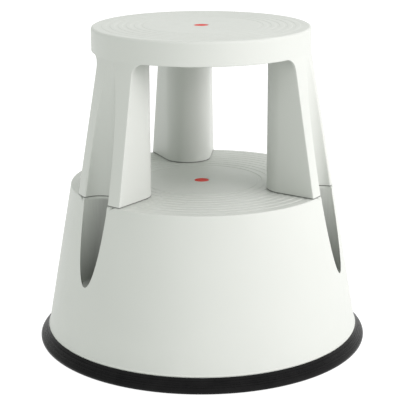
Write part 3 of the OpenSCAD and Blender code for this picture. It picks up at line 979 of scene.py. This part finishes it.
def spring(i):
    low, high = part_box(f"spring_{i}")[0].z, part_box(f"spring_{i}")[1].z
    coil_r = (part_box(f"spring_{i}")[1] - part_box(f"spring_{i}")[0]).y / 2 - SPRING_WIRE
    steps, sides = 36, 10
    count = SPRING_TURNS * steps
    rise = high - low - 2 * SPRING_WIRE
    rows = []
    for k in range(count + 1):
        climb = min(1, max(0, (k / count * SPRING_TURNS - 0.9) / (SPRING_TURNS - 1.8)))
        a = 2 * math.pi * k / steps
        # The wire thins at its ground ends
        wire = SPRING_WIRE * (0.02 if k in (0, count) else 1)
        row = []
        for j in range(sides):
            b = 2 * math.pi * j / sides
            r = coil_r + wire * math.cos(b)
            row.append(polar(a, r, low + SPRING_WIRE + rise * climb + wire * math.sin(b)))
        rows.append(row)
    whole = Patches()
    whole.capped(rows)
    return whole.moved(castor_place(i)).build(f"coil_{i}", sharp=60, weighted=False, merge=1e-7)


# ---------------------------------------------------------------- materials


class Nodes:
    """Short way to add and link shader nodes."""

    def __init__(self, name):
        self.material = bpy.data.materials.new(name)
        self.material.use_nodes = True
        self.tree = self.material.node_tree
        self.shader = self.tree.nodes["Principled BSDF"]
        self.coords = self.tree.nodes.new("ShaderNodeTexCoord").outputs["Object"]

    def link(self, output, socket):
        self.tree.links.new(output, socket)

    def noise(self, scale, detail=2, stretch=None, roughness=0.5):
        node = self.tree.nodes.new("ShaderNodeTexNoise")
        node.inputs["Scale"].default_value = scale
        node.inputs["Detail"].default_value = detail
        node.inputs["Roughness"].default_value = roughness
        source = self.coords
        if stretch:
            mapping = self.tree.nodes.new("ShaderNodeMapping")
            mapping.inputs["Scale"].default_value = stretch
            self.link(source, mapping.inputs["Vector"])
            source = mapping.outputs["Vector"]
        self.link(source, node.inputs["Vector"])
        return node.outputs["Fac"]

    def spread(self, value, low, high, to_low, to_high):
        node = self.tree.nodes.new("ShaderNodeMapRange")
        limits = {"From Min": low, "From Max": high, "To Min": to_low, "To Max": to_high}
        for name, number in limits.items():
            node.inputs[name].default_value = number
        self.link(value, node.inputs["Value"])
        return node.outputs["Result"]

    def blend(self, factor, one, two):
        node = self.tree.nodes.new("ShaderNodeMix")
        node.data_type = "RGBA"
        self.link(factor, node.inputs["Factor"])
        for socket, value in ((node.inputs[6], one), (node.inputs[7], two)):
            if isinstance(value, tuple):
                socket.default_value = (*value, 1)
            else:
                self.link(value, socket)
        return node.outputs[2]

    def calc(self, operation, one, two):
        node = self.tree.nodes.new("ShaderNodeMath")
        node.operation = operation
        for socket, value in zip(node.inputs, (one, two)):
            if isinstance(value, (int, float)):
                socket.default_value = value
            else:
                self.link(value, socket)
        return node.outputs[0]

    def away(self, spot):
        """Distance from the upright line through spot (x, y)."""
        shift = self.tree.nodes.new("ShaderNodeVectorMath")
        shift.operation = "SUBTRACT"
        shift.inputs[1].default_value = (*spot, 0)
        self.link(self.coords, shift.inputs[0])
        flat = self.tree.nodes.new("ShaderNodeVectorMath")
        flat.operation = "MULTIPLY"
        flat.inputs[1].default_value = (1, 1, 0)
        self.link(shift.outputs["Vector"], flat.inputs[0])
        reach = self.tree.nodes.new("ShaderNodeVectorMath")
        reach.operation = "LENGTH"
        self.link(flat.outputs["Vector"], reach.inputs[0])
        return reach.outputs["Value"]

    def bump(self, height, strength, distance, below=None):
        node = self.tree.nodes.new("ShaderNodeBump")
        node.inputs["Strength"].default_value = strength
        node.inputs["Distance"].default_value = distance
        self.link(height, node.inputs["Height"])
        if below:
            self.link(below, node.inputs["Normal"])
        return node.outputs["Normal"]


BODY_COLOUR = (0.495, 0.520, 0.481)


def body_plastic():
    """Pale grey-green moulded plastic with a fine grain, faint flow marks and a little dust low down."""
    n = Nodes("body_plastic")
    cloud = n.spread(n.noise(7, 3), 0.35, 0.65, 0, 1)
    tone = n.blend(cloud, BODY_COLOUR, tuple(c * 0.975 for c in BODY_COLOUR))
    speck = n.spread(n.noise(1100, 1), 0.62, 0.78, 0, 0.10)
    tone = n.blend(speck, tone, tuple(c * 0.72 for c in BODY_COLOUR))
    split = n.tree.nodes.new("ShaderNodeSeparateXYZ")
    n.link(n.coords, split.inputs["Vector"])
    low = n.spread(split.outputs["Z"], 0.03, 0.11, 0.10, 0)
    dust = n.calc("MULTIPLY", low, n.spread(n.noise(38, 4), 0.35, 0.7, 0, 1))
    tone = n.blend(dust, tone, tuple(c * 0.82 for c in BODY_COLOUR))
    # Painted shade: the colour is darkened far inside the niches of the drum, standing in for the shade
    # that falls there
    reach = n.away((0, 0))
    cone = n.spread(split.outputs["Z"], FOOT_Z, SKIRT_Z, cone_r(FOOT_Z), cone_r(SKIRT_Z))
    deep = n.spread(n.calc("SUBTRACT", cone, reach), 0.004, 0.026, 0, 0.62)
    centre_r = NICHE_DEPTH + DRUM_NICHE_R
    gaps = [n.away((centre_r * math.cos(a), centre_r * math.sin(a))) for a in LEG_ANGLES]
    gap = n.calc("MINIMUM", n.calc("MINIMUM", gaps[0], gaps[1]), gaps[2])
    deep = n.calc("MULTIPLY", deep, n.spread(gap, DRUM_NICHE_R + 0.0008, DRUM_NICHE_R + 0.002, 1, 0))
    below = n.spread(split.outputs["Z"], STEP_Z - 0.004, STEP_Z - 0.001, 1, 0)
    tone = n.blend(n.calc("MULTIPLY", deep, below), tone, tuple(c * 0.3 for c in BODY_COLOUR))
    # Painted shadow: a near-black band on the step right under the feet of the legs, standing in for the
    # shade in the narrow gap there
    joint_shadow = n.calc("MULTIPLY", n.spread(split.outputs["Z"], STEP_Z + 0.0003, STEP_Z + 0.0006, 0, 1),
                   n.spread(split.outputs["Z"], LEG_Z + 0.0010, LEG_Z + 0.0017, 0.95, 0))
    tone = n.blend(joint_shadow, tone, tuple(c * 0.06 for c in BODY_COLOUR))
    n.link(tone, n.shader.inputs["Base Color"])
    scuff = n.spread(n.noise(60, 5, (1, 1, 0.25)), 0.55, 0.75, 0, 0.08)
    rough = n.calc("ADD", n.spread(n.noise(420, 2), 0.3, 0.7, 0.40, 0.47), scuff)
    n.link(rough, n.shader.inputs["Roughness"])
    n.shader.inputs["Specular IOR Level"].default_value = 0.38
    grain = n.bump(n.noise(1900, 3), 0.16, 0.0002)
    wave = n.bump(n.noise(24, 1), 0.05, 0.0012, grain)
    n.link(wave, n.shader.inputs["Normal"])
    return n.material


def plain_plastic(name, colour, rough, gloss=0.4, grain=1500, strength=0.15, shade=0.85):
    n = Nodes(name)
    n.shader.inputs["Specular IOR Level"].default_value = gloss
    cloud = n.spread(n.noise(45, 3), 0.35, 0.65, 0, 1)
    n.link(n.blend(cloud, colour, tuple(c * shade for c in colour)), n.shader.inputs["Base Color"])
    n.link(n.spread(n.noise(500, 2), 0.3, 0.7, rough - 0.05, rough + 0.06), n.shader.inputs["Roughness"])
    n.link(n.bump(n.noise(grain, 3), strength, 0.0002), n.shader.inputs["Normal"])
    return n.material


def rubber(name, colour, dust, rough, gloss):
    n = Nodes(name)
    cloud = n.spread(n.noise(30, 5, None, 0.65), 0.4, 0.72, 0, 1)
    n.link(n.blend(cloud, colour, dust), n.shader.inputs["Base Color"])
    n.link(n.spread(n.noise(350, 3), 0.3, 0.7, rough - 0.06, rough + 0.1), n.shader.inputs["Roughness"])
    n.shader.inputs["Specular IOR Level"].default_value = gloss
    n.link(n.bump(n.noise(1300, 4), 0.3, 0.0003), n.shader.inputs["Normal"])
    return n.material


def metal(name, colour, rough, stretch=(1, 1, 8)):
    n = Nodes(name)
    cloud = n.spread(n.noise(160, 4, stretch), 0.35, 0.7, 0, 1)
    n.link(n.blend(cloud, colour, tuple(c * 0.72 for c in colour)), n.shader.inputs["Base Color"])
    polish = n.spread(n.noise(600, 3, stretch), 0.3, 0.7, rough - 0.08, rough + 0.1)
    n.link(polish, n.shader.inputs["Roughness"])
    n.shader.inputs["Metallic"].default_value = 1
    n.link(n.bump(n.noise(900, 3, stretch), 0.12, 0.0001), n.shader.inputs["Normal"])
    return n.material


FINISHES = {
    "body_plastic": body_plastic(),
    "bumper_rubber": rubber("bumper_rubber", (0.0028, 0.0028, 0.003), (0.007, 0.007, 0.007), 0.3, 0.11),
    "tyre_rubber": rubber("tyre_rubber", (0.05, 0.05, 0.052), (0.11, 0.105, 0.10), 0.6, 0.3),
    "cap_red": plain_plastic("cap_red", (0.58, 0.03, 0.018), 0.5, 0.12, 900, 0.08, 0.9),
    "wheel_plastic": plain_plastic("wheel_plastic", (0.10, 0.105, 0.11), 0.42),
    "guide_plastic": plain_plastic("guide_plastic", (0.045, 0.048, 0.05), 0.46),
    "plunger_plastic": plain_plastic("plunger_plastic", (0.66, 0.65, 0.61), 0.38),
    "zinc_steel": metal("zinc_steel", (0.62, 0.63, 0.65), 0.32),
    "fork_steel": metal("fork_steel", (0.52, 0.53, 0.55), 0.36, (1, 1, 3)),
    "spring_steel": metal("spring_steel", (0.34, 0.35, 0.37), 0.28, (6, 6, 1)),
}

# ---------------------------------------------------------------- pieces


def put(piece, body, slot, *nodes):
    piece.data.materials.append(FINISHES[slot])
    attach(piece, body)
    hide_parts(*nodes)
    return piece


put(upper_shell(), "stool", "body_plastic", "upper_moulding")
put(base_shell(), "stool", "body_plastic", "base_shell")
put(bumper(), "stool", "bumper_rubber", "bumper_ring")
put(centre_cap("top_dot", TOP_Z), "stool", "cap_red", "top_cap")
put(centre_cap("step_dot", STEP_Z), "stool", "cap_red", "step_cap")

for i in (1, 2, 3):
    put(tyre(i), f"castor_{i}_wheel", "tyre_rubber", f"tyre_{i}")
    put(wheel(i), f"castor_{i}_wheel", "wheel_plastic", f"wheel_{i}")
    put(fork(i), f"castor_{i}_fork", "fork_steel", f"fork_{i}")
    coil = put(spring(i), "stool", "spring_steel", f"spring_{i}")
    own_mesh(coil)

# The CAD nodes that keep their shape take the finish of the slot they came with
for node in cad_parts.values():
    slot = node.data.materials[0].name.split(".")[0]
    node.data.materials[0] = FINISHES[slot]

# ---------------------------------------------------------------- floor, light and camera

FLOOR = 9
floor_mesh = bpy.data.meshes.new("floor")
corners = [(-FLOOR, -FLOOR, 0), (FLOOR, -FLOOR, 0), (FLOOR, FLOOR, 0), (-FLOOR, FLOOR, 0)]
floor_mesh.from_pydata(corners, [], [(0, 1, 2, 3)])
floor = bpy.data.objects.new("floor", floor_mesh)
bpy.context.scene.collection.objects.link(floor)
floor_look = bpy.data.materials.new("floor")
floor_look.use_nodes = True
floor_shader = floor_look.node_tree.nodes["Principled BSDF"]
floor_shader.inputs["Base Color"].default_value = (0.2, 0.2, 0.2, 1)
floor_shader.inputs["Roughness"].default_value = 1
floor_shader.inputs["Specular IOR Level"].default_value = 0
floor_shader.inputs["Emission Color"].default_value = (1, 1, 1, 1)
floor_shader.inputs["Emission Strength"].default_value = 1.0
floor_mesh.materials.append(floor_look)

world = bpy.data.worlds.new("studio")
bpy.context.scene.world = world
world.use_nodes = True
sky = world.node_tree.nodes["Background"]
sky.inputs["Color"].default_value = (0.99, 1, 0.985, 1)
# The studio is a little brighter on the right than on the left
nodes = world.node_tree.nodes
way = nodes.new("ShaderNodeSeparateXYZ")
level = nodes.new("ShaderNodeMapRange")
for socket, number in (("From Min", -1), ("From Max", 1), ("To Min", 0.80), ("To Max", 1.22)):
    level.inputs[socket].default_value = number
world.node_tree.links.new(nodes.new("ShaderNodeTexCoord").outputs["Generated"], way.inputs["Vector"])
world.node_tree.links.new(way.outputs["X"], level.inputs["Value"])
world.node_tree.links.new(level.outputs["Result"], sky.inputs["Strength"])


def area_light(name, place, aim, size, power):
    data = bpy.data.lights.new(name, "AREA")
    data.energy = power
    data.shape = "RECTANGLE"
    data.size, data.size_y = size
    data.color = (1, 0.92, 0.99)
    light = bpy.data.objects.new(name, data)
    bpy.context.scene.collection.objects.link(light)
    # No glare of the lamps themselves on the plastic
    light.visible_glossy = False
    light.location = place
    light.rotation_euler = (Vector(place) - Vector(aim)).to_track_quat("Z", "Y").to_euler()


area_light("key", (1.95, -1.5, 1.05), (0, 0, 0.2), (1.5, 1.3), 44)
area_light("top", (0.2, -0.9, 2.2), (0, 0, 0.3), (1.6, 1.2), 9)

bpy.context.scene.view_settings.view_transform = "Standard"

CAMERA = (-0.2676, -1.6525, 0.666)
PITCH = 15.81 * DEG
ROLL = -0.212 * DEG
data = bpy.data.cameras.new("camera")
data.lens = 115.5
data.sensor_width = 36
data.shift_x = 0.0005
camera = bpy.data.objects.new("camera", data)
bpy.context.scene.collection.objects.link(camera)
facing = math.atan2(CAMERA[1], CAMERA[0]) + math.pi / 2
camera.matrix_world = (Matrix.Translation(CAMERA) @ Matrix.Rotation(facing, 4, "Z")
                       @ Matrix.Rotation(math.pi / 2 - PITCH, 4, "X") @ Matrix.Rotation(ROLL, 4, "Z"))
bpy.context.scene.camera = camera
